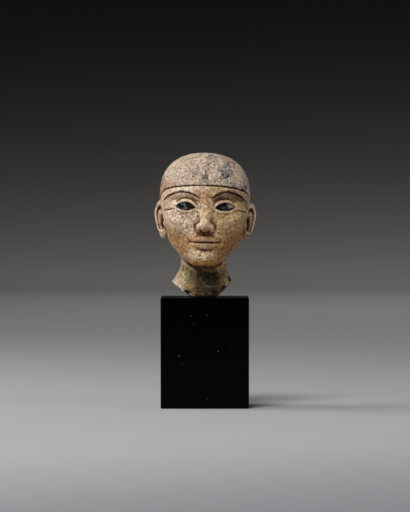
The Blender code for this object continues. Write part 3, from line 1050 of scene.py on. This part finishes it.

# %% [markdown]
# ## Ears, neck and throat
#
# The ears' rolls get a painted highlight and their hollows painted shade. Copper has left green on the neck
# beside a pale tendon, and the front of the neck darkens towards the break until it is nearly black, a dark
# stain with painted shade from the chin over it.

# %% Painted highlight on the ears' rolls, painted shade in their hollows
ware.wash(ware.mask("ear"), 0.84, 0.76, 0.70)
# Painted shade in the ears' hollows, browned.
ware.wash(ware.mask("ear_hollow_painted_shade") * 0.9, 0.26, 0.17, 0.11)
# A painted highlight along the ears' rolls.
ware.cover(ware.mask("ear_roll_painted_highlight") * 0.5, 255, 236, 216)
# Darker and yellower towards the ear's lower end.
lobe = ware.mask("ear") * (height + 2 * (streaks - 0.5)).between(26.0, 24.0)
ware.wash(lobe, 0.50, 0.45, 0.30)
ware.report("ears")

# %% Copper green, olive and a pale tendon
forward = depth.between(4, -2)
ragged = across + 5 * (streaks - 0.5)
ware.wash(forward * ragged.band(-8.0, -5.0, 6.5, 9.0) * height.between(16.2, 13.8), 0.98, 0.82, 0.54)
ware.wash(on_neck, 0.76, 0.68, 0.58)
ware.wash(on_neck * across.between(4, 9), 0.94, 0.98, 0.92)
green_stripe = (ragged + 6.4).band(-2.0, -0.7, 0.7, 2.0)
low_green = (height + 6 * (lumps - 0.5)).between(4.5, 6.5) * height.between(13.5, 10.5)
green = 0.6 * lumps.between(0.42, 0.56) + green_stripe * (0.4 + 0.6 * low_green)
ware.wash(on_neck * green * forward, 0.33, 0.43, 0.24)
along_tendon = height + 0.7 * across - 7.7
tendon = along_tendon.band(-1.3, -0.3, 0.3, 1.3) * across.between(-1, -3) * forward
ware.cover(tendon * 0.45, 232, 204, 160)
ware.report("green and tendon")

# %% The dark throat, a stain with painted shade, and olive on the cap's side
mottle = ware.cloud(1.5 * M, 4, 0.75, 4.1)
low_down = (height + 6 * (streaks - 0.5)).between(12.5, 9.0)
# The throat goes nearly black: a dark stain, with the chin's shade painted over it.
throat_stain_and_shade = forward * ragged.band(-8.5, -2.0, 4.0, 11.0) * low_down
ware.wash(throat_stain_and_shade * (1 - 0.3 * mottle.between(0.52, 0.66)), 0.065, 0.062, 0.022)
foot = throat_stain_and_shade * (height + 2 * (mottle - 0.5)).between(3.4, 2.6)
ware.cover(foot * 0.16 * mottle.between(0.46, 0.62), 98, 62, 44)
above_collar = height - 0.03 * across * across - 3.4
collar = above_collar.band(0.1, 0.35, 0.5, 0.8) * across.band(-4, -2, 6, 7.5)
ware.cover(collar * throat_stain_and_shade * 0.35, 150, 122, 88)
olive = on_cap * across.between(-15.5, -17.0) * streaks.between(0.42, 0.56)
ware.wash(olive, 0.55, 0.52, 0.40)
ware.report("throat_stain_and_shade")

# %% [markdown]
# ## Grime, painted shade, bare edges and the break
#
# Dirt fills every pit and cut line, grooves and orbits get dirt and painted shade, and edges are rubbed
# pale. The bites out of the break are painted dark as shade. The break is brown below, where it is old, and
# a painted highlight runs along its edge at the head's own right. The marks kept at the points say where.

# %% Grime, painted shade and highlight, and bare edges
hollow = ware.mask("hollow")
ware.wash(ware.mask("pits").between(0.1, 0.7) * (0.6 + 0.35 * on_cap), 0.14, 0.10, 0.08)
ware.wash(hollow.between(0.3, 1.0) * 0.7, 0.30, 0.22, 0.16)
# Grooves and orbits: brown dirt, with painted shade in them.
ware.wash(ware.mask("groove_dirt_and_shade").between(0.15, 0.9) * 0.9, 0.30, 0.19, 0.12)
line = ware.mask("lines").between(0.25, 0.8) * (0.5 + 0.5 * streaks.between(0.36, 0.54))
ware.wash(line, 0.20, 0.08, 0.055)
ware.wash(ware.mask("smear") * (0.5 + 0.5 * streaks.between(0.4, 0.55)), 0.16, 0.11, 0.06)
ware.wash(ware.mask("socket"), 0.20, 0.12, 0.06)
ware.cover(ware.mask("edge").between(0.4, 1.0) * (1 - throat_stain_and_shade) * 0.25, 244, 224, 198)
ware.cover(ware.mask("fracture") * 0.45, 128, 104, 80)
# The bites out of the break are painted nearly black, as shade.
ware.wash(ware.mask("bite_painted_shade"), 0.08, 0.06, 0.05)
# A painted highlight along the break's lower edge at the head's own right.
ware.cover(ware.mask("break_edge_highlight") * 0.9, 255, 250, 236)
ware.report("grime")

# %% [markdown]
# ## Sheen and fine grain
#
# Where a film of glaze is left the surface shines a little; dirt makes it dull. Grains too fine for the
# mesh are raised by two bumps, one upon the other.

# %% Its sheen and grain
glazed = (drift * lumps).between(0.2, 0.36)
coarse = ware.bump(grit + 0.4 * coarse_tone, 0.8, 0.35 * M)
sandy = ware.cloud(0.45 * M, 2, 0.6, 0.7)
ware.set(
    base_color=ware.colour,
    roughness=0.62 - 0.2 * glazed + 0.25 * hollow + 0.1 * (grit - 0.5),
    normal=ware.bump(sandy, 0.5, 0.15 * M, Normal=coarse),
    specular_ior_level=0.3,
)
ware.dress(head)

# %% [markdown]
# ## The stones' polish
#
# The stones are nearly black, with a cold grey cloud inside where they have started to weather, thicker in
# the broken one. The polish is still there, so most of what is seen is the studio in them.

# %% Dark glassy stone
glassy = Finish("eye_stone_finish")
cloudy = glassy.cloud(1.5 * M, 3, 0.6)
own_right = 0.3 + 0.7 * (glassy.x * (1 / M)).between(3, -3)
glassy.colour = glassy.mix(cloudy.between(0.42, 0.62) * own_right, paint(16, 16, 17), paint(118, 121, 124))
glassy.set(
    base_color=glassy.colour,
    roughness=0.12 + 0.2 * cloudy.between(0.5, 0.8),
    normal=glassy.bump(glassy.cloud(0.7 * M, 2), 0.1, 0.05 * M),
    coat_weight=0.5,
    ior=1.5,
)
glassy.dress(left_stone, right_stone)

# %% [markdown]
# ## The black block
#
# The block is right as packed: a box with its edges eased by half a millimetre. It lacks only its finish, a
# black lacquer polished nearly to a mirror, with a breath of haze, hairline rubs and specks of dust.

# %% Black lacquer
lacquer = Finish("black_lacquer_finish")
haze = lacquer.cloud(18 * M, 3, 0.5)
dusty = lacquer.cloud(9 * M, 2, 0.5, 0.8).between(0.52, 0.6)
dust = lacquer.cells(2.6 * M, 0.4).between(0.09, 0.05) * dusty
stretched = lacquer.add("ShaderNodeMapping", None, {"Vector": lacquer.place, "Scale": (40, 40, 900)})
rub = lacquer.add("ShaderNodeTexNoise", None, {"Vector": stretched, "Scale": 3.0})
lacquer.set(
    base_color=lacquer.mix(dust * 0.8, paint(3, 3, 3), paint(150, 146, 140)),
    roughness=0.1 + 0.06 * haze + 0.5 * dust,
    normal=lacquer.bump(rub, 0.015, 0.1 * M),
    specular_ior_level=0.05,
)
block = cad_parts["display_block"]
for slot in block.material_slots:
    slot.material = lacquer.material
print("block finish on", len(block.material_slots), "slot")

# %% [markdown]
# ## The studio
#
# The photograph was taken on a pale paper sweep that darkens behind the object. The sweep here is a shallow
# bowl, so that it looks alike from every side: a flat floor that curls up well behind the camera. Its grey
# is halved again and again with height, painted shade for the light falling off up the wall. The floor is
# painted darker towards the camera and far behind the block, and black nearer the camera, out of view, to
# keep the block's front black: all painted shade.

# %% The sweep
FLOOR_RADIUS = 1.9
WALL_RADIUS = 2.5
WALL_TOP = 2.6


def sweep_profile():
    """Floor, curl and wall, from the middle outwards."""
    curl = [math.radians(a) for a in range(0, 91, 9)]
    bend = WALL_RADIUS - FLOOR_RADIUS
    arc = [(FLOOR_RADIUS + bend * math.sin(a), bend - bend * math.cos(a)) for a in curl]
    return [(0.0, 0.0), (0.3, 0.0), (1.0, 0.0), *arc, (WALL_RADIUS, WALL_TOP)]


profile = bpy.data.meshes.new("sweep")
outline = [(r, 0, z) for r, z in sweep_profile()]
profile.from_pydata(outline, [(i, i + 1) for i in range(len(outline) - 1)], [])
sweep = placed("sweep", profile)
turned = {"axis": "Z", "steps": 128, "render_steps": 128}
apply_modifier(sweep, "SCREW", merge_threshold=0.0001, use_merge_vertices=True, **turned)
activate(sweep)
bpy.ops.object.shade_smooth()
print("sweep:", len(profile.polygons), "faces,", 2 * WALL_RADIUS, "m wide")

# %% The sweep's paper and its painted shade
LEVEL_UP_TO = 0.01
HALVED_EVERY = 0.062

paper = Finish("sweep_paper_painted_shade")
# Painted shade: the floor darker towards the camera.
near_edge_painted_shade = (paper.y - 0.8 * paper.x).between(-0.20, -0.62)
paper.colour = paper.mix(near_edge_painted_shade, paint(199, 200, 202), paint(152, 153, 156))
# Painted black nearer the camera, out of view, so that the block's front reflects dark.
paper.cover(paper.y.between(-0.62, -0.90), 8, 8, 8)
# Painted shade: a little darker far behind the block.
paper.cover(paper.y.between(0.1, 1.2), 195, 193, 190)
# Painted shade up the wall: the grey halved again and again with height.
wall_painted_shade = (paper.z - LEVEL_UP_TO).at_least(0.0) * (1 / HALVED_EVERY)
paper.colour = paper.mix(1.0, paper.colour, 0.5**wall_painted_shade, "MULTIPLY")
paper.set(base_color=paper.colour, roughness=0.75, specular_ior_level=0.2)
paper.dress(sweep)

# %% [markdown]
# ## Light
#
# A large soft light stands high in front, a little to the left. It models the face and puts the shade under
# the chin. A low one at the left draws the bright line along the cap, the ear and the break, and a weak one
# opens the dark side. One overhead lights the crown, and one that points straight down washes the floor
# behind.

# %% Softboxes
TARGET = Vector((0, 0, 0.075))


def softbox(name, place, size, power, aim=TARGET, spread=180):
    light = bpy.data.lights.new(name, "AREA")
    light.size = size
    light.energy = power
    light.spread = math.radians(spread)
    lamp = placed(name, light)
    lamp.location = place
    lamp.rotation_euler = (aim - Vector(place)).to_track_quat("-Z", "Y").to_euler()
    print(name, power, "W")


softbox("key", (-0.32, -0.95, 1.29), 0.60, 14.5)
softbox("edge", (-0.68, 0.10, 0.42), 0.60, 3.0)
softbox("fill", (0.75, -0.65, 0.35), 0.40, 1.2)
softbox("overhead", (0.0, 0.05, 0.95), 0.60, 0.35)
softbox("backdrop", (0.25, 1.42, 1.10), 0.90, 1.2, Vector((0.25, 1.42, 0)), 100)
world = bpy.data.worlds.new("studio")
bpy.context.scene.world = world
world.use_nodes = True
room = world.node_tree.nodes["Background"].inputs
room["Color"].default_value = (0.6, 0.6, 0.62, 1)
room["Strength"].default_value = 0.01

# %% [markdown]
# ## The camera
#
# The block's edges give the view: they hardly converge, so the lens is long, and only a sliver of its top
# shows, so the camera stands just above it. The lens follows from the distance and the block's width in the
# picture, the tilt from the level line.

# %% The photograph's view
PICTURE = (410, 512)
SENSOR = 36.0
DISTANCE = 1.60
LEVEL_ROW = 191.0
BLOCK_MIDDLE = 204.8
BLOCK_WIDE = 88.6
BLOCK_FOOT_ROW = 409.0

focal = BLOCK_WIDE * DISTANCE / (block_high.x - block_low.x)
camera_height = (BLOCK_FOOT_ROW - LEVEL_ROW) * DISTANCE / focal
data = bpy.data.cameras.new("camera")
data.sensor_width = SENSOR
data.lens = focal * SENSOR / PICTURE[1]
data.clip_start, data.clip_end = 0.05, 12
camera = placed("camera", data)
tilt = math.atan((PICTURE[1] / 2 - LEVEL_ROW) / focal)
shift = (PICTURE[0] / 2 - BLOCK_MIDDLE) * DISTANCE / focal
camera.location = (shift, block_low.y - DISTANCE, camera_height)
camera.rotation_euler = (math.pi / 2 - tilt, 0, 0)
bpy.context.scene.camera = camera
bpy.context.scene.view_settings.view_transform = "Standard"
print("lens", round(data.lens), "mm, camera", round(camera_height * 1000), "mm high")
